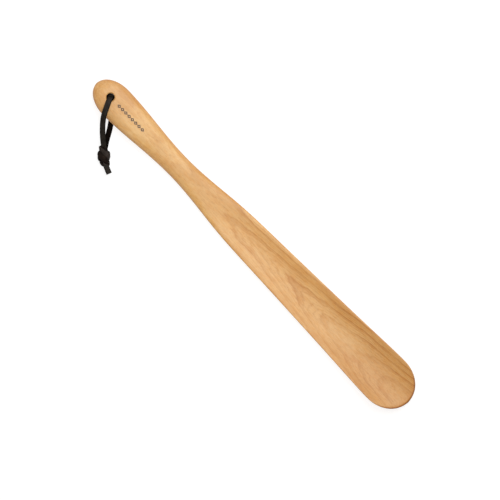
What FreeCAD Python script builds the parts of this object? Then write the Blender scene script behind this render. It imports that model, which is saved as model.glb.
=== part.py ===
"""A long beech shoehorn with a knotted leather lace through the end of its handle.

Millimetres. The horn lies on its back: +X runs from the end of the handle to the tip of the
blade, +Z is up out of the blade's channel, and the origin is under the middle of its length.
Places along the horn are distances from the end of the handle.
"""

import FreeCAD, Part
import math
import os

from FreeCAD import Vector

# The horn's outline, seen from above
LENGTH = 380.0
BULB_ROUND = 23.0  # length of the half ellipse that rounds the end of the handle
TIP_ROUND = 27.0  # length of the half ellipse that rounds the tip of the blade
HALF_WIDTHS = [
    (BULB_ROUND, 15.2),
    (34.0, 14.85),
    (46.0, 14.1),
    (61.5, 12.6),
    (77.0, 11.2),
    (99.0, 10.15),
    (120.0, 11.05),
    (135.0, 12.45),
    (155.0, 14.65),
    (176.0, 16.1),
    (205.0, 17.1),
    (250.0, 18.65),
    (300.0, 20.5),
    (334.0, 22.05),
    (LENGTH - TIP_ROUND, 22.63),
]

# Thickness at the middle of the section, and how quickly it closes at the two ends
THICKNESSES = [
    (14.0, 11.3),
    (60.0, 11.5),
    (95.0, 10.3),
    (120.0, 9.3),
    (150.0, 7.3),
    (185.0, 5.5),
    (230.0, 4.6),
    (300.0, 3.9),
    (LENGTH, 3.0),
]
BULB_NOSE = 14.0
TIP_NOSE = 1.6
RIM_THINNING = 0.3  # share of the blade's thickness that is gone at its rims
THINNING_STARTS = 130.0
THINNING_ENDS = 240.0
HANDLE_SQUARENESS = 2.0
RIM_SQUARENESS = 0.6

# The blade's channel, and the horn's curve along its length
CHANNEL_RADIUS = 38.0
CHANNEL_STARTS = 112.0
CHANNEL_ENDS = 186.0
SANDED_FLAT = 0.1  # depth of the narrow flat that the horn rests on
HANDLE_LIFT = 4.0
LIFT_STARTS = 112.0
LIFT_ENDS = 28.0
TIP_LIFT = 8.5
TIP_LIFT_STARTS = 262.0

# The hole for the lace
HOLE_AT = 17.2
HOLE_RADIUS = 3.25
HOLE_ROUNDING = 1.5

# The lace: a flat strip of leather, folded in two through the hole and tied in one knot
LACE_WIDTH = 4.8
LACE_THICKNESS = 2.2
LACE_EDGE = 0.5  # rounding of its long edges
LACE_CLEARANCE = 0.3
ARC_SHARE = 0.45  # share of the shorter run that a bend's arc may take
KNOT_ANGLE = -37.6  # the knot's direction in plan, in degrees from +X
KNOT_START = Vector(25.5, -32.3, 4.6)  # from the hole's axis
KNOT_LENGTH = 16.6
KNOT_SECTIONS = [(0.0, 3.9, 3.4), (0.22, 5.1, 4.2), (0.5, 5.3, 4.4), (0.8, 4.6, 3.9), (1.0, 3.6, 3.3)]
KNOT_BITE = 0.8  # each strand runs this far into the knot's lump
STRAND_RISE = 1.35  # each strand and each tail lies this far above or below the knot's axis
STRAND_SIDE = 0.75  # and this far to one side of it
FOLD_DEPTH = 2.73  # the strands turn out of the hole from this far inside it
TAIL_ANGLE = -23.7
TAIL_SPLAY = 2.0  # degrees between each tail and their common direction
TAIL_LENGTH = 8.0
TAIL_STRAIGHT = 3.0  # the tails leave the knot along its axis for this length, and then turn
TAIL_DROP = 0.3

# How finely the horn's control net is spaced
NOSE_STEPS = 8
BODY_STEPS = 24
QUARTER_ANGLES = [0.0, 22.0, 40.0, 54.0, 65.0, 74.0, 81.0, 86.0]
DEGREE = 3
CONTROL_ROUNDS = 12


def level_spline(stations):
    """A smooth function through (place, value) stations, level at its two ends and beyond them."""
    curve = Part.BSplineCurve()
    curve.interpolate(
        Points=[Vector(place, value, 0) for place, value in stations],
        Parameters=[place for place, value in stations],
        InitialTangent=Vector(1, 0, 0),
        FinalTangent=Vector(1, 0, 0),
    )
    first, last = stations[0][0], stations[-1][0]
    return lambda place: curve.value(min(max(place, first), last)).y


def ease(start, end, place):
    """0 before start, 1 after end, and a smooth S between them."""
    share = min(max((place - start) / (end - start), 0.0), 1.0)
    return share * share * (3 - 2 * share)


def round_end(place, length):
    """The height of a quarter ellipse of that length, from 0 at its end to 1."""
    share = min(max(place / length, 0.0), 1.0)
    return math.sqrt(1 - (1 - share) ** 2)


def in_plan(angle):
    return Vector(math.cos(math.radians(angle)), math.sin(math.radians(angle)), 0)


middle_width = level_spline(HALF_WIDTHS)
middle_thickness = level_spline(THICKNESSES)


def half_width(place):
    return middle_width(place) * round_end(place, BULB_ROUND) * round_end(LENGTH - place, TIP_ROUND)


def underside(place):
    """Height of the keel, the lowest line of the horn."""
    tip = max(place - TIP_LIFT_STARTS, 0.0) / (LENGTH - TIP_LIFT_STARTS)
    handle = 1 - ease(LIFT_ENDS, LIFT_STARTS, place)
    return HANDLE_LIFT * handle + TIP_LIFT * tip * tip - SANDED_FLAT


UP = Vector(0, 0, 1)
HOLE_AXIS = Vector(HOLE_AT - LENGTH / 2, 0, 0)
HOLE_BOTTOM = underside(HOLE_AT)
HOLE_TOP = HOLE_BOTTOM + middle_thickness(HOLE_AT)
HOLE_MIDDLE = (HOLE_BOTTOM + HOLE_TOP) / 2
KNOT_AXIS = in_plan(KNOT_ANGLE)
KNOT_SIDE = in_plan(KNOT_ANGLE + 90)
KNOT_END = KNOT_START + KNOT_AXIS * KNOT_LENGTH


def skin_point(place, angle):
    """A point of the skin: angle runs round the section, from 0 at the top by +Y to 180 below."""
    width, full = half_width(place), middle_thickness(place)
    across = math.sin(math.radians(angle))
    curl = ease(CHANNEL_STARTS, CHANNEL_ENDS, place) * (width * across) ** 2 / (2 * CHANNEL_RADIUS)
    thinning = RIM_THINNING * ease(THINNING_STARTS, THINNING_ENDS, place) * across * across
    squareness = HANDLE_SQUARENESS + RIM_SQUARENESS * (width / full) ** 2
    rounding = math.sqrt(max(1 - abs(across) ** squareness, 0.0))
    nose = round_end(place, BULB_NOSE) * round_end(LENGTH - place, TIP_NOSE)
    half = full / 2 * (1 - thinning) * rounding * nose
    side = 1 if math.cos(math.radians(angle)) > 0 else -1
    return Vector(place - LENGTH / 2, width * across, underside(place) + full / 2 + curl + side * half)


def skin_angles():
    """Angles round a section, closer together where it turns round the rims."""
    top = [-angle for angle in reversed(QUARTER_ANGLES[1:])] + QUARTER_ANGLES
    bottom = [180 + angle for angle in top]
    return top + [90.0] + bottom + [270.0]


def section_places():
    """Places of the sections, closer together where the two ends close."""
    nose = [1 - math.cos(math.pi / 2 * step / NOSE_STEPS) for step in range(NOSE_STEPS)]
    bulb = [BULB_ROUND * share for share in nose]
    tip = [LENGTH - TIP_ROUND * share for share in reversed(nose)]
    span = LENGTH - TIP_ROUND - BULB_ROUND
    body = [BULB_ROUND + span * step / BODY_STEPS for step in range(BODY_STEPS + 1)]
    return bulb + body + tip


def controls_through(points):
    """Control points of the closed cubic spline that runs through the points."""
    controls = list(points)
    for _ in range(CONTROL_ROUNDS):
        before, after = controls[-1:] + controls[:-1], controls[1:] + controls[:1]
        near = zip(points, before, controls, after)
        controls = [at + point - (left + at * 4 + right) / 6 for point, left, at, right in near]
    return controls


def horn_skin():
    """One smooth closed skin, a cubic surface over a control net of sections."""
    angles, places = skin_angles(), section_places()
    net = [controls_through([skin_point(place, angle) for angle in angles]) for place in places]
    spans, turns = len(places) - DEGREE, len(angles)
    skin = Part.BSplineSurface()
    skin.buildFromPolesMultsKnots(
        net,
        [DEGREE + 1] + [1] * (spans - 1) + [DEGREE + 1],
        [1] * (turns + 1),
        list(range(spans + 1)),
        list(range(turns + 1)),
        False,
        True,
        DEGREE,
        DEGREE,
    )
    return skin.toShape()


def on_mouth(edge):
    """True for the edges where the hole meets the horn's skin."""
    box = edge.BoundBox
    around = abs(box.Center.x - HOLE_AXIS.x) < HOLE_RADIUS and box.XLength < 2.1 * HOLE_RADIUS
    return around and box.ZLength < HOLE_RADIUS and not edge.Degenerated


def horn_body():
    """The one piece of beech, with the flat that it rests on and the lace's hole."""
    horn = Part.Solid(Part.Shell([horn_skin()]))
    horn = horn.cut(Part.makeBox(LENGTH, LENGTH, LENGTH, Vector(-LENGTH / 2, -LENGTH / 2, -LENGTH)))
    horn = horn.cut(Part.makeCylinder(HOLE_RADIUS, LENGTH, HOLE_AXIS - UP * (LENGTH / 2)))
    rounded = horn.makeFillet(HOLE_ROUNDING, [edge for edge in horn.Edges if on_mouth(edge)])
    return rounded.Solids[0]


def rounded_path(points):
    """Straight runs between the points, joined by arcs as large as the runs allow."""
    edges, start, radii = [], points[0], []
    for before, corner, after in zip(points, points[1:], points[2:]):
        into, away = corner - before, after - corner
        run = min(into.Length, away.Length)
        turn = into.getAngle(away)
        into.normalize()
        away.normalize()
        cut = ARC_SHARE * run
        radius = cut / math.tan(turn / 2)
        inward = (away - into).normalize()
        first, last = corner - into * cut, corner + away * cut
        middle = corner + inward * (math.hypot(radius, cut) - radius)
        edges += [Part.LineSegment(start, first).toShape(), Part.Arc(first, middle, last).toShape()]
        start = last
        radii.append(round(radius, 1))
    edges.append(Part.LineSegment(start, points[-1]).toShape())
    return Part.Wire(edges), radii


def lace_section(start, along, across):
    """The lace's flat section with rounded edges, square to along, with its width along across."""
    across = across.normalize()
    upward = along.cross(across).normalize()
    half_wide, half_thick, edge = LACE_WIDTH / 2, LACE_THICKNESS / 2, LACE_EDGE
    diagonal = edge * (1 - math.sqrt(0.5))

    def at(u, v):
        return start + across * u + upward * v

    corners = []
    for su, sv in ((1, 1), (-1, 1), (-1, -1), (1, -1)):
        level = at(su * (half_wide - edge), sv * half_thick)
        round_middle = at(su * (half_wide - diagonal), sv * (half_thick - diagonal))
        plumb = at(su * half_wide, sv * (half_thick - edge))
        corner = (plumb, round_middle, level) if su == sv else (level, round_middle, plumb)
        corners.append(corner)
    outline = []
    for corner, following in zip(corners, corners[1:] + corners[:1]):
        outline.append(Part.Arc(*corner).toShape())
        outline.append(Part.LineSegment(corner[2], following[0]).toShape())
    return Part.Wire(outline)


def lace(name, points, across):
    """A length of the lace along straight runs and arcs."""
    points = [HOLE_AXIS + point for point in points]
    path, radii = rounded_path(points)
    sweep = Part.BRepOffsetAPI.MakePipeShell(path)
    sweep.add(lace_section(points[0], points[1] - points[0], across))
    sweep.build()
    sweep.makeSolid()
    strip = sweep.shape()
    area = LACE_WIDTH * LACE_THICKNESS - (4 - math.pi) * LACE_EDGE**2
    print(name, "length", round(path.Length, 1), "arc radii", radii)
    print("  volume", round(strip.Volume, 2), "of", round(area * path.Length, 2))
    return strip


def into_knot(last, end):
    """The end of a strand that comes from last, past end at the knot's face, into its lump."""
    return end + (end - last).normalize() * KNOT_BITE


def front_strand():
    """From the middle of the hole up, over the rim of the handle and down to the knot."""
    top = HOLE_TOP + LACE_CLEARANCE + LACE_THICKNESS / 2
    end = KNOT_START + UP * STRAND_RISE - KNOT_SIDE * STRAND_SIDE
    last = end - KNOT_AXIS * 7.5 + UP * 3.4
    points = [
        Vector(0, 0, HOLE_MIDDLE),
        Vector(0, 0, top - FOLD_DEPTH),
        Vector(1.2, -2.45, top),
        Vector(4.0, -8.4, top - 0.1),
        Vector(7.0, -14.6, top - 0.6),
        Vector(11.2, -20.3, top - 2.7),
        last,
        into_knot(last, end),
    ]
    return lace("lace_front_strand", points, Vector(2.45, 1.2, 0))


def back_strand():
    """From the middle of the hole down, under the handle and out to the knot."""
    low = HOLE_BOTTOM - LACE_CLEARANCE - LACE_THICKNESS / 2
    end = KNOT_START - UP * STRAND_RISE + KNOT_SIDE * STRAND_SIDE
    last = end - KNOT_AXIS * 5.0 + KNOT_SIDE * 1.6
    points = [
        Vector(0, 0, HOLE_MIDDLE),
        Vector(0, 0, low + FOLD_DEPTH),
        Vector(2.03, -1.83, low),
        Vector(7.0, -6.3, low - 0.2),
        Vector(12.4, -11.0, low - 0.3),
        Vector(17.0, -17.2, low - 0.2),
        Vector(20.8, -23.2, low + 0.1),
        last,
        into_knot(last, end),
    ]
    return lace("lace_back_strand", points, Vector(1.83, 2.03, 0))


def knot():
    """The overhand knot of the doubled lace, as one plain lump of its outer size."""
    middle = HOLE_AXIS + KNOT_START
    wires = []
    for share, wide, tall in KNOT_SECTIONS:
        ring = Part.Ellipse(Vector(0, 0, 0), wide, tall).toShape()
        ring.rotate(Vector(0, 0, 0), Vector(1, 0, 0), 90)
        ring.rotate(Vector(0, 0, 0), Vector(0, 0, 1), KNOT_ANGLE + 90)
        ring.translate(middle + KNOT_AXIS * (share * KNOT_LENGTH))
        wires.append(Part.Wire(ring))
    return Part.makeLoft(wires, True, False)


def tail(name, side):
    """One cut end of the lace, side +1 for the upper one and -1 for the lower."""
    start = KNOT_END + UP * (side * STRAND_RISE)
    turn = start + KNOT_AXIS * TAIL_STRAIGHT
    direction = in_plan(TAIL_ANGLE + side * TAIL_SPLAY)
    end = turn + direction * (TAIL_LENGTH - TAIL_STRAIGHT) - UP * TAIL_DROP
    return lace(name, [start, turn, end], KNOT_SIDE)


PARTS = {
    "horn_body": horn_body(),
    "lace_front_strand": front_strand(),
    "lace_back_strand": back_strand(),
    "lace_knot": knot(),
    "lace_tail_front": tail("lace_tail_front", 1),
    "lace_tail_back": tail("lace_tail_back", -1),
}

os.makedirs("parts", exist_ok=True)
for node, shape in PARTS.items():
    box = shape.BoundBox
    print(node, shape.ShapeType, shape.isValid(), len(shape.Solids), "volume", round(shape.Volume, 1))
    print("  box", [round(v, 2) for v in (box.XMin, box.YMin, box.ZMin, box.XMax, box.YMax, box.ZMax)])
    shape.exportStep("parts/" + node + ".step")
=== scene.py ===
"""The looks of the long beech shoehorn: its wood, and its knotted leather lace.

Metres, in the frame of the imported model: +X from the end of the handle to the tip of the blade,
+Y across, +Z up. The lace's sizes and routes are written in millimetres, and turned into metres
where they are read.
"""

import math

import bmesh
import bpy
from mathutils import Matrix, Vector, noise


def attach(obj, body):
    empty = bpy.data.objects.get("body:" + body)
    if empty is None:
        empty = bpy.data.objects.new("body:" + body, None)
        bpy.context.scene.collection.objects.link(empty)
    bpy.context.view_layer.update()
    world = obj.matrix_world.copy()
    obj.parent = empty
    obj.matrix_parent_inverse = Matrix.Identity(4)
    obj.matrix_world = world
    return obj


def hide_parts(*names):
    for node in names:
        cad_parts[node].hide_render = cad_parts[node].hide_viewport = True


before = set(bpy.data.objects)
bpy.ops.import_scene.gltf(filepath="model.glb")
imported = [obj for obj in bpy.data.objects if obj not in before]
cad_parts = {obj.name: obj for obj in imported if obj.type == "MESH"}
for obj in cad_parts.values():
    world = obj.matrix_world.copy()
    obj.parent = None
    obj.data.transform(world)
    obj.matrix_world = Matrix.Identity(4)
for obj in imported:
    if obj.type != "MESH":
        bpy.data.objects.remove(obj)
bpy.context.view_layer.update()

MM = 0.001
UP = Vector((0, 0, 1))

# Where the lace is, from the design, in millimetres
LENGTH = 380.0
HOLE_AXIS = Vector((17.2 - LENGTH / 2, 0, 0))
HOLE_MIDDLE = 9.55
LACE_WIDTH = 4.8
LACE_THICKNESS = 2.2
KNOT_ANGLE = math.radians(-37.6)
KNOT_AXIS = Vector((math.cos(KNOT_ANGLE), math.sin(KNOT_ANGLE), 0))
KNOT_SIDE = UP.cross(KNOT_AXIS)
KNOT_START = Vector((25.5, -32.3, 4.6))
KNOT_LENGTH = 16.6
KNOT_BITE = 0.8
STRAND_RISE = 1.35
STRAND_SIDE = 0.75
FRONT_LEVEL = 16.6
BACK_LEVEL = 2.5
FOLD_DEPTH = 2.73


# ---------------------------------------------------------------- materials


NOISE_ROLL = 0.6


class Nodes:
    """A short way to write a material's nodes."""

    def __init__(self, name):
        self.material = bpy.data.materials.new(name)
        self.material.use_nodes = True
        self.tree = self.material.node_tree
        self.shader = self.tree.nodes["Principled BSDF"]

    def add(self, kind, inputs=None, **settings):
        made = self.tree.nodes.new("ShaderNode" + kind)
        for key, value in settings.items():
            setattr(made, key, value)
        for key, value in (inputs or {}).items():
            self.put(made.inputs[key], value)
        return made

    def put(self, socket, value):
        if isinstance(value, bpy.types.NodeSocket):
            self.tree.links.new(value, socket)
        else:
            socket.default_value = value

    def maths(self, operation, *values, clamp=False):
        made = self.add("Math", operation=operation, use_clamp=clamp)
        for socket, value in zip(made.inputs, values):
            self.put(socket, value)
        return made.outputs[0]

    def plus(self, first, second):
        return self.maths("ADD", first, second)

    def minus(self, first, second):
        return self.maths("SUBTRACT", first, second)

    def times(self, first, second, clamp=False):
        return self.maths("MULTIPLY", first, second, clamp=clamp)

    def over(self, first, second):
        return self.maths("DIVIDE", first, second)

    def size(self, value):
        return self.maths("ABSOLUTE", value)

    def squared(self, value):
        return self.maths("POWER", value, 2.0)

    def squares(self, first, second):
        """The sum of the squares of two values."""
        return self.plus(self.squared(first), self.squared(second))

    def repeated(self, value, period):
        """From 0 to 1 over each period of a value."""
        return self.maths("FRACT", self.over(value, period))

    def above(self, value, low, strength):
        """How far a value is above low, times strength, from 0 to 1."""
        return self.times(self.minus(value, low), strength, clamp=True)

    def between(self, value, low, high, first, last):
        """A smooth change from first, where value is low, to last, where it is high."""
        inputs = {"Value": value, "From Min": low, "From Max": high, "To Min": first, "To Max": last}
        return self.add("MapRange", inputs, interpolation_type="SMOOTHSTEP").outputs["Result"]

    def ramp(self, value, stops, interpolation="LINEAR"):
        """A colour or grey ramp of (place, colour or grey) stops."""
        made = self.add("ValToRGB", {"Fac": value})
        made.color_ramp.interpolation = interpolation
        elements = made.color_ramp.elements
        while len(elements) < len(stops):
            elements.new(0.5)
        for element, (place, tone) in zip(elements, stops):
            element.position = place
            element.color = (*tone, 1) if hasattr(tone, "__len__") else (tone, tone, tone, 1)
        return made.outputs["Color"]

    def noise(self, vector, scale, detail, roughness):
        inputs = {"Vector": vector, "Scale": scale, "Detail": detail, "Roughness": roughness}
        return self.add("TexNoise", inputs).outputs["Fac"]

    def stretched_noise(self, vector, scales, detail, roughness):
        """Noise with its own scale along each axis, rolled about X so that it doesn't line up
        with the object's sides."""
        inputs = {"Vector": vector, "Scale": scales, "Rotation": (NOISE_ROLL, 0, 0)}
        return self.noise(self.add("Mapping", inputs).outputs["Vector"], 1.0, detail, roughness)

    def mix(self, kind, share, first, second):
        made = self.add("Mix", data_type="RGBA", blend_type=kind)
        for key, value in ((0, share), (6, first), (7, second)):
            self.put(made.inputs[key], value)
        return made.outputs[2]

    def shaded(self, tone, layers):
        """The tone multiplied by the shade of each of the layers, (share, shade), by its share."""
        for share, shade in layers:
            tone = self.mix("MULTIPLY", share, tone, (*shade, 1))
        return tone

    def bump(self, height, strength, distance):
        inputs = {"Height": height, "Strength": strength, "Distance": distance}
        return self.add("Bump", inputs).outputs["Normal"]


# The growth rings are shells round the tree's heart, a line along X under the horn
HEART_SIDE = 0.0025  # how far the heart is to the -Y side
HEART_DEPTH = 0.032  # how far it is below the surface that the horn lies on
RING_GAP = 0.0030
THIN_GAP = RING_GAP / 4  # between the thin lines
RING_OFFSET = 0.0006  # how far they are all moved towards the heart
RING_RISES = ((0.056, 0.030, 0.055), (0.122, 0.020, 0.036))  # each one's start, bend and slope
HANDLE_RISE = 0.0044  # how far the rings stand up at the end of the handle
WANDER = 0.0045  # how far the rings stray slowly, and in short waves
WAVER = 0.0015


def growth_rings(n, place, x, y, z):
    """How dark the late wood is, and the figure, which has thin lines between the rings too.

    The rings rise out of the blade in two slopes, and so they draw arches on it."""
    radius = n.maths("SQRT", n.squares(n.plus(y, HEART_SIDE), n.plus(z, HEART_DEPTH)))
    rises = []
    for start, reach, slope in RING_RISES:
        beyond = n.minus(x, start)
        bend = n.maths("SQRT", n.plus(n.squared(beyond), reach**2))
        rises.append(n.times(n.plus(beyond, bend), slope))
    at_handle = n.between(x, -0.162, -0.078, HANDLE_RISE, 0.0)
    shell = n.minus(n.minus(radius, n.plus(*rises)), at_handle)
    for amount, scales, roughness in ((WANDER, (11, 40, 40), 0.5), (WAVER, (60, 260, 260), 0.55)):
        stray = n.minus(n.stretched_noise(place, scales, 2.0, roughness), 0.5)
        shell = n.plus(shell, n.times(stray, amount))
    shell = n.plus(shell, RING_OFFSET)
    late_stops = [(0.0, 0.5), (0.06, 0.0), (0.60, 0.08), (0.91, 1.0), (1.0, 0.5)]
    late = n.ramp(n.repeated(shell, RING_GAP), late_stops, "EASE")
    thin_stops = [(0.0, 0.0), (0.5, 0.0), (0.85, 1.0), (1.0, 0.0)]
    thin = n.ramp(n.repeated(shell, THIN_GAP), thin_stops, "EASE")
    return late, n.plus(n.times(late, 0.75), n.times(thin, 0.5))


def rings_shown(n, place, x, y):
    """How much of the rings' figure shows: more along the blade, and less along its middle."""
    patchy = n.stretched_noise(place, (18, 60, 60), 2.0, 0.5)
    uneven = n.times(n.between(patchy, 0.3, 0.65, 0.6, 1.3), n.between(y, -0.016, 0.012, 0.7, 1.35))
    beside_middle = n.between(n.size(y), 0.002, 0.013, 0.0, 1.0)
    calm = n.maths("MAXIMUM", beside_middle, n.between(x, 0.05, 0.11, 1.0, 0.35))
    return n.times(n.between(x, -0.11, 0.03, 0.26, 0.52), n.times(uneven, calm))


TIP_START = 0.163  # where the blade begins to round off
TIP_REACH = 0.027  # from there to the end of the tip
HALF_WIDTH = 0.0226  # half the blade's width, and a little


def tip_layers(n, x, y):
    """The painted shade on the lip round the end of the blade, and the golden band just inside it."""
    past_round = n.over(n.maths("MAXIMUM", n.minus(x, TIP_START), 0.0), TIP_REACH)
    outward = n.squares(past_round, n.over(y, HALF_WIDTH))
    at_tip = n.between(past_round, 0.2, 0.8, 0.0, 1.0)
    # Painted shade: the lip round the tip is darkened where the rim turns away from the lights.
    lip = n.times(n.between(outward, 0.82, 0.97, 0.0, 0.90), at_tip)
    band = n.times(n.between(outward, 0.66, 0.88, 0.0, 0.60), at_tip)
    return [(lip, (0.52, 0.36, 0.24)), (band, (0.95, 0.84, 0.60))]


def region_layers(n, x, y):
    """The wood's slow changes of tone from the handle to the tip, and painted shade on one side of the
    handle's end and on its steep edges.
    """
    warmer = n.between(x, -0.08, 0.02, 0.0, 1.0)
    # Darker and browner towards the tip.
    darker_to_tip = n.between(x, 0.03, 0.18, 0.0, 1.0)
    bulb = n.between(x, -0.166, -0.138, 1.0, 0.0)
    # Painted shade on the +Y side of the handle's end, which faces the key light.
    bulb_side_shade = n.times(bulb, n.between(y, -0.004, 0.012, 0.0, 1.0))
    neck = n.between(n.size(n.plus(x, 0.096)), 0.006, 0.024, 1.0, 0.0)
    # Painted shade: the steeper the surface, the darker and more orange its colour, for the shade on
    # sides that turn away from the lights.
    normal = n.add("NewGeometry").outputs["Normal"]
    level = n.size(n.add("SeparateXYZ", {"Vector": normal}).outputs["Z"])
    edges = n.between(level, 0.40, 0.995, 0.85, 0.0)
    return [
        (warmer, (0.98, 0.925, 0.84)),
        (darker_to_tip, (0.84, 0.76, 0.63)),
        (bulb, (0.94, 0.895, 0.86)),
        (bulb_side_shade, (0.94, 0.90, 0.85)),
        (neck, (1.05, 1.09, 1.19)),
        (edges, (0.78, 0.62, 0.42)),
    ]


ROW_MIDDLE = -0.148  # the burnt row of lozenges on the handle
LOZENGE_COUNT = 8
LOZENGE_GAP = 0.0040
LOZENGE_HALF_LENGTH = LOZENGE_GAP / 2.15  # so that the tips of their burnt lines just touch
LOZENGE_HALF_WIDTH = 0.00148
STROKE_PLACE = 0.74  # the middle of the burnt line, in half lozenges from its lozenge's middle
STROKE_REACH = (0.28, 0.40)  # burnt up to the first of these from there, and plain past the second
ROW_HALF_LENGTH = LOZENGE_COUNT * LOZENGE_GAP / 2
ROW_BLUR = 0.00005
FACE_HEIGHTS = (0.012, 0.013)  # only the upper face of the handle, above this, is burnt


def burnt_row(n, x, y, z):
    """How burnt the wood is: the outlines of a row of small lozenges."""
    along = n.size(n.minus(n.repeated(x, LOZENGE_GAP), 0.5))
    along = n.times(along, LOZENGE_GAP / LOZENGE_HALF_LENGTH)
    outward = n.plus(along, n.over(n.size(y), LOZENGE_HALF_WIDTH))
    stroke = n.between(n.size(n.minus(outward, STROKE_PLACE)), *STROKE_REACH, 1.0, 0.0)
    from_middle = n.size(n.minus(x, ROW_MIDDLE))
    ends = (ROW_HALF_LENGTH - ROW_BLUR, ROW_HALF_LENGTH + ROW_BLUR)
    in_row = n.between(from_middle, *ends, 1.0, 0.0)
    return n.times(n.times(stroke, in_row), n.between(z, *FACE_HEIGHTS, 0.0, 0.95))


# Painted shade in the hole: near-black inside the first radius, plain wood past the second.
BORE_SHADE_RADII = (0.0033, 0.0037)  # the hole is dark up to the first, and the wood plain past the second


def beech():
    """Flat-sawn beech: cathedral growth rings, fine fibres, and short brown ray flecks."""
    n = Nodes("beech")
    place = n.add("TexCoord").outputs["Object"]
    x, y, z = n.add("SeparateXYZ", {"Vector": place}).outputs
    late, figure = growth_rings(n, place, x, y, z)
    rings = n.times(figure, rings_shown(n, place, x, y))

    clouds = n.stretched_noise(place, (14, 45, 45), 3.0, 0.55)
    streaks = n.stretched_noise(place, (24, 330, 330), 3.0, 0.6)
    fibres = n.stretched_noise(place, (45, 2600, 2600), 3.0, 0.6)
    mottles = n.stretched_noise(place, (150, 460, 460), 2.0, 0.6)
    grain = n.stretched_noise(place, (160, 1300, 1300), 2.0, 0.6)
    rays = n.stretched_noise(place, (330, 2300, 2300), 1.0, 0.4)
    flecks = n.ramp(rays, [(0.0, 0.0), (0.60, 0.0), (0.70, 1.0), (1.0, 1.0)])

    pale, middle, warm = (0.810, 0.520, 0.232), (0.765, 0.461, 0.176), (0.692, 0.385, 0.130)
    tone = n.ramp(clouds, [(0.30, warm), (0.50, middle), (0.72, pale)])
    # These layers also hold painted shade: on the tip's lip, on one side of the handle's end, and on the
    # steep edges.
    tone = n.shaded(tone, tip_layers(n, x, y) + region_layers(n, x, y))
    grain_layers = [
        (rings, (0.70, 0.50, 0.31)),
        (n.between(mottles, 0.44, 0.62, 0.0, 0.7), (0.985, 0.89, 0.72)),
        (n.above(fibres, 0.35, 0.5), (0.62, 0.47, 0.34)),
        (n.above(grain, 0.4, 0.45), (0.62, 0.46, 0.33)),
        (n.above(streaks, 0.42, 1.0), (0.74, 0.60, 0.46)),
        (n.times(flecks, 0.22), (0.48, 0.30, 0.19)),
    ]
    tone = n.shaded(tone, grain_layers)
    tone = n.mix("MIX", burnt_row(n, x, y, z), tone, (0.032, 0.014, 0.007, 1))
    # Painted shade inside the hole: its wood is made near-black.
    from_axis = n.maths("SQRT", n.squares(n.minus(x, HOLE_AXIS.x * MM), y))
    hole_shade = n.between(from_axis, *BORE_SHADE_RADII, 0.97, 0.0)
    tone = n.mix("MIX", hole_shade, tone, (0.012, 0.006, 0.003, 1))
    n.put(n.shader.inputs["Base Color"], tone)

    rough = n.plus(n.times(fibres, 0.16), n.times(late, 0.05))
    n.put(n.shader.inputs["Roughness"], n.plus(rough, 0.34))
    n.shader.inputs["Specular IOR Level"].default_value = 0.45
    relief = n.minus(fibres, n.times(flecks, 0.5))
    n.put(n.shader.inputs["Normal"], n.bump(relief, 0.35, 0.00012))
    return n.material


def leather(name, dark, light, grit, gloss):
    """Leather: a pebbled grain with fine scuffs. grit is how rough it is, gloss how shiny."""
    n = Nodes(name)
    place = n.add("TexCoord").outputs["Object"]
    cells = n.add("TexVoronoi", {"Vector": place, "Scale": 1900.0}, feature="F1")
    pebbles = cells.outputs["Distance"]
    folds = n.noise(place, 700.0, 4.0, 0.6)
    patches = n.noise(place, 160.0, 3.0, 0.6)
    tone = n.mix("MIX", n.ramp(patches, [(0.35, 0.0), (0.7, 1.0)]), (*dark, 1), (*light, 1))
    tone = n.shaded(tone, [(n.times(pebbles, 0.8, clamp=True), (0.45, 0.42, 0.42))])
    n.put(n.shader.inputs["Base Color"], tone)
    n.put(n.shader.inputs["Roughness"], n.plus(n.times(folds, 0.22), grit))
    n.shader.inputs["Specular IOR Level"].default_value = gloss
    relief = n.minus(n.times(folds, 1.4), pebbles)
    n.put(n.shader.inputs["Normal"], n.bump(relief, 0.5, 0.00016))
    return n.material


def floor_white():
    n = Nodes("floor_white")
    place = n.add("TexCoord").outputs["Object"]
    speckle = n.noise(place, 900.0, 2.0, 0.5)
    n.put(n.shader.inputs["Base Color"], n.ramp(speckle, [(0.3, 0.28), (0.7, 0.31)]))
    n.shader.inputs["Emission Color"].default_value = (1, 1, 1, 1)
    n.shader.inputs["Emission Strength"].default_value = 0.80
    n.shader.inputs["Roughness"].default_value = 0.85
    n.shader.inputs["Specular IOR Level"].default_value = 0.1
    return n.material


BEECH = beech()
LACE_FACE = leather("lace_face", (0.0130, 0.0100, 0.0072), (0.034, 0.0270, 0.0200), 0.40, 0.10)
LACE_CUT = leather("lace_cut", (0.0040, 0.0020, 0.0012), (0.013, 0.007, 0.0045), 0.62, 0.08)
# The lace's rough flesh side is near-black. This is partly its own dark tone and partly painted shade
# for the back strand, whose top shows this side.
LACE_FLESH_AND_SHADE = leather("lace_flesh_and_shade", (0.0026, 0.0014, 0.0010), (0.0095, 0.0055, 0.0040), 0.70, 0.03)
# The knot's leather: lighter and browner than the strands' on its face, and darker on its flesh side.
LACE_KNOT_FACE = leather("lace_knot_face", (0.0200, 0.0145, 0.0115), (0.062, 0.0460, 0.0375), 0.45, 0.10)
LACE_KNOT_FLESH = leather("lace_knot_flesh", (0.0085, 0.0050, 0.0035), (0.027, 0.0165, 0.0118), 0.60, 0.05)


# ---------------------------------------------------------------- the lace


def smooth_line(points, steps=24):
    """Points in metres on the quadratic NURBS line that has those control points, in millimetres."""
    curve = bpy.data.curves.new("route", "CURVE")
    curve.dimensions = "3D"
    spline = curve.splines.new("NURBS")
    spline.points.add(len(points) - 1)
    for control, point in zip(spline.points, points):
        control.co = (*(Vector(point) * MM), 1)
    spline.order_u = 3
    spline.use_endpoint_u = True
    spline.resolution_u = steps
    holder = bpy.data.objects.new("route", curve)
    bpy.context.scene.collection.objects.link(holder)
    line = bpy.data.meshes.new_from_object(holder)
    made = [vertex.co.copy() for vertex in line.vertices]
    bpy.data.objects.remove(holder)
    bpy.data.meshes.remove(line)
    bpy.data.curves.remove(curve)
    return made


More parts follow.
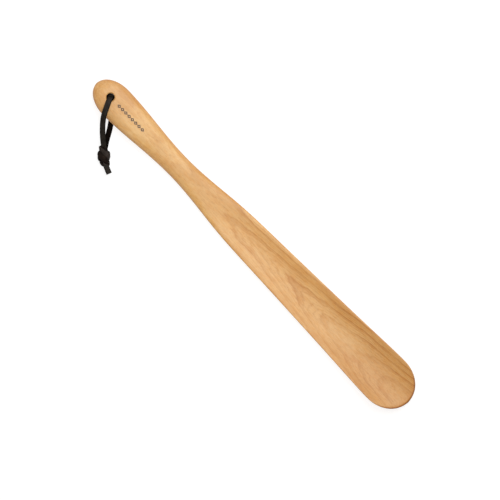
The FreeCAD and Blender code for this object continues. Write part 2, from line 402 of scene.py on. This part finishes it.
CUT = 1  # which of a piece's three materials a face has: 0 is the lace's smooth face
ROUGH = 2
RING_POINTS = 28
RING_SQUARENESS = 4.2
BUNCH_RADIUS = 3.13  # the bunched lace's mean radius in the hole, in four lobes that twist
BUNCH_START = 1.6  # it is round up to here from the hole's middle
BUNCH_FADE = 2.6  # and flat this much further on
BUNCH_SMOOTHING = 0.9  # the share of its unevenness that it loses there
LOBES = 4
LOBE_DEPTH = 0.07
LOBE_PITCH = 3.0
CUT_EDGE = 0.175  # how far in from its edges the lace looks cut, in its own thickness
KNOT_FADE = 9.0  # the knot's bends and lumps begin within a ninth of its length
WAVES_PER_METRE = 420  # how fine the lace's slow unevenness is, and how deep, in millimetres
WAVE_DEPTH = 0.07
GRIT_PER_METRE = 1500
GRIT_DEPTH = 0.025
LUMPS_PER_METRE = 300


def eased(share):
    """A share from 0 to 1 that starts and ends gently."""
    return share * share * (3 - 2 * share)


def ring_shape(width, thickness, squareness):
    """A section with evenly turned points: a circle or ellipse at squareness 2, and squarer above."""
    shape = []
    for step in range(RING_POINTS):
        angle = 2 * math.pi * (step + 0.5) / RING_POINTS
        c, s = math.cos(angle), math.sin(angle)
        u = math.copysign(abs(c) ** (2 / squareness), c) * width / 2
        v = math.copysign(abs(s) ** (2 / squareness), s) * thickness / 2
        shape.append((u, v))
    return shape


def lobe(spot):
    """How far the bunched lace swells at a place in the hole, in metres."""
    turn = math.atan2(spot.y - HOLE_AXIS.y * MM, spot.x - HOLE_AXIS.x * MM)
    return LOBE_DEPTH * MM * math.cos(LOBES * turn - 2 * math.pi * spot.z / (LOBE_PITCH * MM))


def unevenness(spot, seed, lumps):
    """How far the lace's surface stands out at a spot, in metres. lumps is in millimetres."""
    wobble = noise.noise(spot * WAVES_PER_METRE + Vector((seed, 0, 0))) * WAVE_DEPTH * MM
    wobble += noise.noise(spot * LUMPS_PER_METRE + Vector((0, 0, seed))) * lumps * MM
    wobble += noise.noise(spot * GRIT_PER_METRE + Vector((0, seed, 0))) * GRIT_DEPTH * MM
    return wobble


def directions(line):
    """The tangent at each point of a line."""
    ahead = line[1:] + line[-1:]
    behind = line[:1] + line[:-1]
    return [(b - a).normalized() for a, b in zip(behind, ahead)]


def cover(bm, rings, shape, flesh):
    """Faces between the rings and over both ends, each in the material of its side of the lace."""
    cut_from = (LACE_WIDTH / 2 - LACE_THICKNESS * CUT_EDGE) * MM
    for first, second in zip(rings, rings[1:]):
        for step in range(RING_POINTS):
            following = (step + 1) % RING_POINTS
            face = bm.faces.new((first[step], first[following], second[following], second[step]))
            face.smooth = True
            middle = (shape[step][0] + shape[following][0]) / 2
            if abs(middle) > cut_from:
                face.material_index = CUT
            elif shape[step][1] * flesh > 0:
                face.material_index = ROUGH
    for ring in (list(reversed(rings[0])), rings[-1]):
        face = bm.faces.new(ring)
        face.material_index = CUT


def ribbon(bm, line, normals, seed, flesh, bunching=None, cup=0.0, lumps=0.0):
    """Adds a length of lace to bm: rings of its section along the line, facing the normals.

    flesh is 1 where the leather's rough inner side is the one that faces the normals, or -1.
    bunching is how round it is at each point, from 0, flat, to 1. Between its ends, its edges
    bend away from where it faces by cup, and its surface is uneven by lumps, in millimetres."""
    width = LACE_WIDTH * MM
    shape = ring_shape(width, LACE_THICKNESS * MM, RING_SQUARENESS)
    bunch = ring_shape(2 * BUNCH_RADIUS * MM, 2 * BUNCH_RADIUS * MM, 2)
    bunching = bunching or [0.0] * len(line)
    rings = []
    for index, (at, along, facing) in enumerate(zip(line, directions(line), normals)):
        from_ends = (KNOT_FADE * index / len(line), KNOT_FADE * (1 - (index + 1) / len(line)))
        inside = min(1.0, *from_ends)
        across = along.cross(facing).normalized()
        outward = across.cross(along).normalized()
        ring = []
        for flat, rounded in zip(shape, bunch):
            u, v = Vector(flat).lerp(Vector(rounded), bunching[index])
            spot = at + across * u + outward * (v - cup * inside * MM * (2 * u / width) ** 2)
            wobble = unevenness(spot, seed, lumps * inside)
            wobble += (lobe(spot) - wobble * BUNCH_SMOOTHING) * bunching[index]
            ring.append(bm.verts.new(spot + (across * u + outward * v).normalized() * wobble))
        rings.append(ring)
    cover(bm, rings, shape, flesh)


def finished(name, bm, skin, inside, stands_for):
    """The piece made of bm in place of one of the lace's nodes, with its smooth side in the leather
    skin and its rough side in the leather inside."""
    bmesh.ops.recalc_face_normals(bm, faces=bm.faces)
    mesh = bpy.data.meshes.new(name)
    bm.to_mesh(mesh)
    bm.free()
    for material in (skin, LACE_CUT, inside):
        mesh.materials.append(material)
    piece = bpy.data.objects.new(name, mesh)
    bpy.context.scene.collection.objects.link(piece)
    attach(piece, "lanyard")
    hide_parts(stands_for)
    return piece


def in_knot(a, s, u):
    """A point in the knot's own frame: a along it from its start, s to its side, u up."""
    return HOLE_AXIS + KNOT_START + KNOT_AXIS * a + KNOT_SIDE * s + UP * u


def turned(a, s, u):
    """A direction in the knot's own frame."""
    return KNOT_AXIS * a + KNOT_SIDE * s + UP * u


def past(last, end):
    """The end of a strand that comes from last, past end at the knot's face, into the knot."""
    return end + (end - last).normalized() * KNOT_BITE


def from_hole(x, y, z):
    return HOLE_AXIS + Vector((x, y, z))


front_end = in_knot(0, -STRAND_SIDE, STRAND_RISE)
front_last = front_end - KNOT_AXIS * 7.5 + UP * 3.4
FRONT_ROUTE = [
    from_hole(0, 0, HOLE_MIDDLE),
    from_hole(0, 0, FRONT_LEVEL - FOLD_DEPTH),
    from_hole(1.2, -2.45, FRONT_LEVEL + 0.45),
    from_hole(4.0, -8.4, FRONT_LEVEL + 0.2),
    from_hole(7.0, -14.6, FRONT_LEVEL - 0.3),
    from_hole(11.2, -20.3, FRONT_LEVEL - 2.5),
    front_last,
    past(front_last, front_end),
]
FRONT_ACROSS = Vector((2.45, 1.2, 0))  # across the lace where it leaves the hole
FRONT_ROLL = 24  # how far a strand rolls over on its way, and back again, in degrees
back_end = in_knot(0, STRAND_SIDE, -STRAND_RISE)
back_last = back_end - KNOT_AXIS * 5.0 + KNOT_SIDE * 1.6
BACK_ROUTE = [
    from_hole(0, 0, HOLE_MIDDLE),
    from_hole(0, 0, BACK_LEVEL + FOLD_DEPTH),
    from_hole(2.03, -1.83, BACK_LEVEL),
    from_hole(7.0, -6.3, BACK_LEVEL - 0.2),
    from_hole(12.4, -11.0, BACK_LEVEL - 0.3),
    from_hole(17.0, -17.2, BACK_LEVEL - 0.2),
    from_hole(20.8, -23.2, BACK_LEVEL + 0.1),
    back_last,
    past(back_last, back_end),
]
BACK_ACROSS = Vector((1.83, 2.03, 0))
BACK_ROLL = 10


def bunched(line):
    """How round the lace is along its line, which starts in the hole. It bunches up there, and all
    but fills it."""
    made = []
    for point in line:
        beyond = (point - line[0]).length / MM - BUNCH_START
        made.append(1 - eased(min(max(beyond / BUNCH_FADE, 0.0), 1.0)))
    return made


def strand(name, node, route, first_across, roll, seed, flesh):
    """A free stretch of the lace, from the middle of the hole to the knot."""
    line = smooth_line(route)
    normals = []
    for index, direction in enumerate(directions(line)):
        share = index / (len(line) - 1)
        across = first_across.normalized().lerp(KNOT_SIDE, eased(share))
        normal = across.cross(direction).normalized() * -1
        turn = math.radians(roll) * math.sin(math.pi * share * share) ** 2
        normals.append(Matrix.Rotation(turn, 3, direction) @ normal)
    bm = bmesh.new()
    ribbon(bm, line, normals, seed, flesh, bunching=bunched(line))
    piece = finished(name, bm, LACE_FACE, LACE_FLESH_AND_SHADE, node)
    return piece, line, normals[-1]


# The knot: an overhand tied in the two strands lying side by side. Each row is the pair's
# middle, the way its faces look, and the way from the middle to the front strand, all (a, s, u).
KNOT_ROWS = [
    # down behind the turn, and round the lower left
    ((3.2, -0.3, 0.5), (-0.1, 0.0, -1.0), (0.0, -0.5, 1.2)),
    ((6.6, -1.2, 0.0), (-0.3, -0.3, -0.9), (-0.3, -0.9, 1.0)),
    ((10.5, -3.2, -0.8), (-0.2, -0.5, -0.8), (-0.5, -0.9, 0.9)),
    ((13.7, -2.2, -1.9), (0.2, -0.2, -0.9), (-1.5, -0.4, 0.3)),
    ((14.5, 1.7, -2.2), (0.1, 0.5, -0.8), (-1.9, 0.0, 0.2)),
    # up the right side, and over the front towards the upper left
    ((13.2, 3.9, 0.3), (0.1, 1.0, 0.1), (-2.0, 0.2, 0.0)),
    ((11.2, 2.6, 3.2), (0.1, 0.5, 0.9), (-1.6, 1.2, 0.0)),
    ((8.3, 0.0, 3.9), (0.0, 0.0, 1.0), (-1.3, 1.6, 0.0)),
    ((5.4, -2.6, 3.2), (-0.1, -0.5, 0.9), (-1.6, 1.2, 0.0)),
    ((4.3, -3.7, 0.3), (-0.1, -1.0, 0.1), (-1.9, 0.9, 0.0)),
    # behind again, and out through the turn
    ((3.4, -2.2, -2.6), (-0.1, -0.5, -0.8), (-1.9, 0.0, -0.2)),
    ((4.4, 2.1, -2.5), (-0.2, 0.2, -0.9), (-1.5, -0.4, -0.3)),
    ((7.0, 3.2, -1.4), (0.2, 0.5, -0.8), (-0.5, -0.9, -0.9)),
    ((10.0, 0.9, 0.0), (0.3, 0.3, -0.9), (-0.3, -0.9, -1.0)),
    ((13.4, 0.3, 0.5), (0.1, 0.0, -1.0), (0.0, -0.5, -1.2)),
]
KNOT_SHIFT = Vector((0, -1.6, 0))  # the knot lies this far to one side of where the strands go in
KNOT_EXIT_SIDE = -0.8  # and the tails come out this far to that side
KNOT_LEAD = 1.6  # how far a strand goes straight on inside the knot, at its start and its end
KNOT_STEPS = 14
KNOT_CUP = 0.7
KNOT_LUMPS = 0.55
RAIL_OFFSET = 2  # the line that a ribbon in the knot faces is this far from its own


def knot_lines(sign, start, start_along, end, end_along, start_facing):
    """The line of one strand through the knot, and the way it faces. sign is 1 for the front one."""
    points = [start, start + start_along * KNOT_LEAD]
    facings = [start_facing, start_facing]
    for middle, facing, offset in KNOT_ROWS:
        points.append(in_knot(*(Vector(middle) + KNOT_SHIFT)) + turned(*offset) * sign)
        facings.append(turned(*facing).normalized())
    points += [end - end_along * KNOT_LEAD, end]
    facings += [facings[-1], facings[-1]]
    line = smooth_line(points, KNOT_STEPS)
    rail_points = [point + facing * RAIL_OFFSET for point, facing in zip(points, facings)]
    rail = smooth_line(rail_points, KNOT_STEPS)
    return line, [(b - a).normalized() for a, b in zip(line, rail)]


TAIL_BEND = 1.5  # a tail goes straight on for this long, and then turns
TAIL_REACH = 6.5
TAIL_DROP = 0.3
TAIL_ANGLE = -20.5  # in degrees from +X, and how far each tail splays from it
TAIL_SPLAY = 0.7


def tail(name, end, facing, splay, sign):
    """One of the lace's two cut ends, from the far side of the knot."""
    angle = math.radians(TAIL_ANGLE + splay)
    turn = end + KNOT_AXIS * TAIL_BEND
    tip = turn + Vector((math.cos(angle), math.sin(angle), 0)) * TAIL_REACH - UP * TAIL_DROP
    line = smooth_line([end, turn, tip])
    bm = bmesh.new()
    ribbon(bm, line, [facing] * len(line), seed=20 + sign, flesh=sign)
    return finished("lace_cut_tail_" + name, bm, LACE_FACE, LACE_FLESH_AND_SHADE, "lace_tail_" + name)


def lace():
    """The whole lace: two strands, the knot and the two cut tails."""
    front, front_line, front_normal = strand(
        "lace_strand_front", "lace_front_strand", FRONT_ROUTE, FRONT_ACROSS, FRONT_ROLL, seed=1, flesh=-1
    )
    # The back strand's top is its flesh side, whose near-black colour is partly painted shade.
    back, back_line, back_normal = strand(
        "lace_strand_back", "lace_back_strand", BACK_ROUTE, BACK_ACROSS, BACK_ROLL, seed=2, flesh=1
    )
    bm = bmesh.new()
    tail_starts = []
    for sign, line, normal in ((1, front_line, front_normal), (-1, back_line, back_normal)):
        start = line[-1] / MM
        along = (line[-1] - line[-2]).normalized()
        end = in_knot(KNOT_LENGTH, KNOT_EXIT_SIDE, -sign * STRAND_RISE)
        inner, facing = knot_lines(sign, start, along, end, KNOT_AXIS, normal)
        ribbon(bm, inner, facing, seed=10 + sign, flesh=-sign, cup=KNOT_CUP, lumps=KNOT_LUMPS)
        tail_starts.append((end, facing[-1]))
    knot = finished("lace_knot_tied", bm, LACE_KNOT_FACE, LACE_KNOT_FLESH, "lace_knot")
    # The front strand comes out of the knot below the back one, so its end is the back tail
    for (end, facing), name, sign in zip(tail_starts, ("back", "front"), (-1, 1)):
        tail(name, end, facing, sign * TAIL_SPLAY, sign)


# ---------------------------------------------------------------- the room


def area_light(name, place, size, power):
    """A round soft light that shines at the middle of the horn."""
    data = bpy.data.lights.new(name, "AREA")
    data.shape = "DISK"
    data.size = size
    data.energy = power
    light = bpy.data.objects.new(name, data)
    light.location = place
    light.rotation_euler = (-Vector(place)).to_track_quat("-Z", "Y").to_euler()
    light.visible_camera = False
    bpy.context.scene.collection.objects.link(light)


FLOOR_RADIUS = 5.0
COVE_RADIUS = 1.5
COVE_STEPS = 8
FLOOR_SIDES = 64


def white_floor():
    """A plain pale floor that curves up all round, far away."""
    profile = [(FLOOR_RADIUS, 0.0)]
    for step in range(1, COVE_STEPS + 1):
        angle = math.pi / 2 * step / COVE_STEPS
        out, up = COVE_RADIUS * math.sin(angle), COVE_RADIUS * (1 - math.cos(angle))
        profile.append((FLOOR_RADIUS + out, up))
    turns = [2 * math.pi * side / FLOOR_SIDES for side in range(FLOOR_SIDES)]
    bm = bmesh.new()
    rings = []
    for radius, height in profile:
        corners = [(radius * math.cos(turn), radius * math.sin(turn), height) for turn in turns]
        rings.append([bm.verts.new(corner) for corner in corners])
    bm.faces.new(rings[0])
    for inner, outer in zip(rings, rings[1:]):
        for side in range(FLOOR_SIDES):
            following = (side + 1) % FLOOR_SIDES
            bm.faces.new((inner[side], outer[side], outer[following], inner[following]))
    mesh = bpy.data.meshes.new("floor")
    bm.to_mesh(mesh)
    bm.free()
    mesh.materials.append(floor_white())
    floor = bpy.data.objects.new("floor", mesh)
    bpy.context.scene.collection.objects.link(floor)


def studio():
    """The floor, a white surround and two soft lights."""
    white_floor()
    world = bpy.data.worlds.new("surround")
    world.use_nodes = True
    background = world.node_tree.nodes["Background"]
    background.inputs["Color"].default_value = (1, 1, 1, 1)
    background.inputs["Strength"].default_value = 0.25
    bpy.context.scene.world = world
    area_light("key", place=(-0.20, 0.65, 1.2), size=0.9, power=12)
    area_light("top", place=(-0.1, -0.05, 1.8), size=0.9, power=9.5)


CAMERA_PLACE = (0.00303, -0.00585, 3.5565)
CAMERA_TURN = math.radians(45.685)
CAMERA_LENS = 300
SENSOR_WIDTH = 36


def camera():
    """Straight above, with the horn running from the upper left to the lower right."""
    data = bpy.data.cameras.new("camera")
    data.lens = CAMERA_LENS
    data.sensor_width = SENSOR_WIDTH
    shot = bpy.data.objects.new("camera", data)
    shot.location = CAMERA_PLACE
    shot.rotation_euler = (0, 0, CAMERA_TURN)
    bpy.context.scene.collection.objects.link(shot)
    bpy.context.scene.camera = shot
    bpy.context.scene.view_settings.view_transform = "Standard"


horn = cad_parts["horn_body"]
horn.data.materials.clear()
horn.data.materials.append(BEECH)
lace()
studio()
camera()
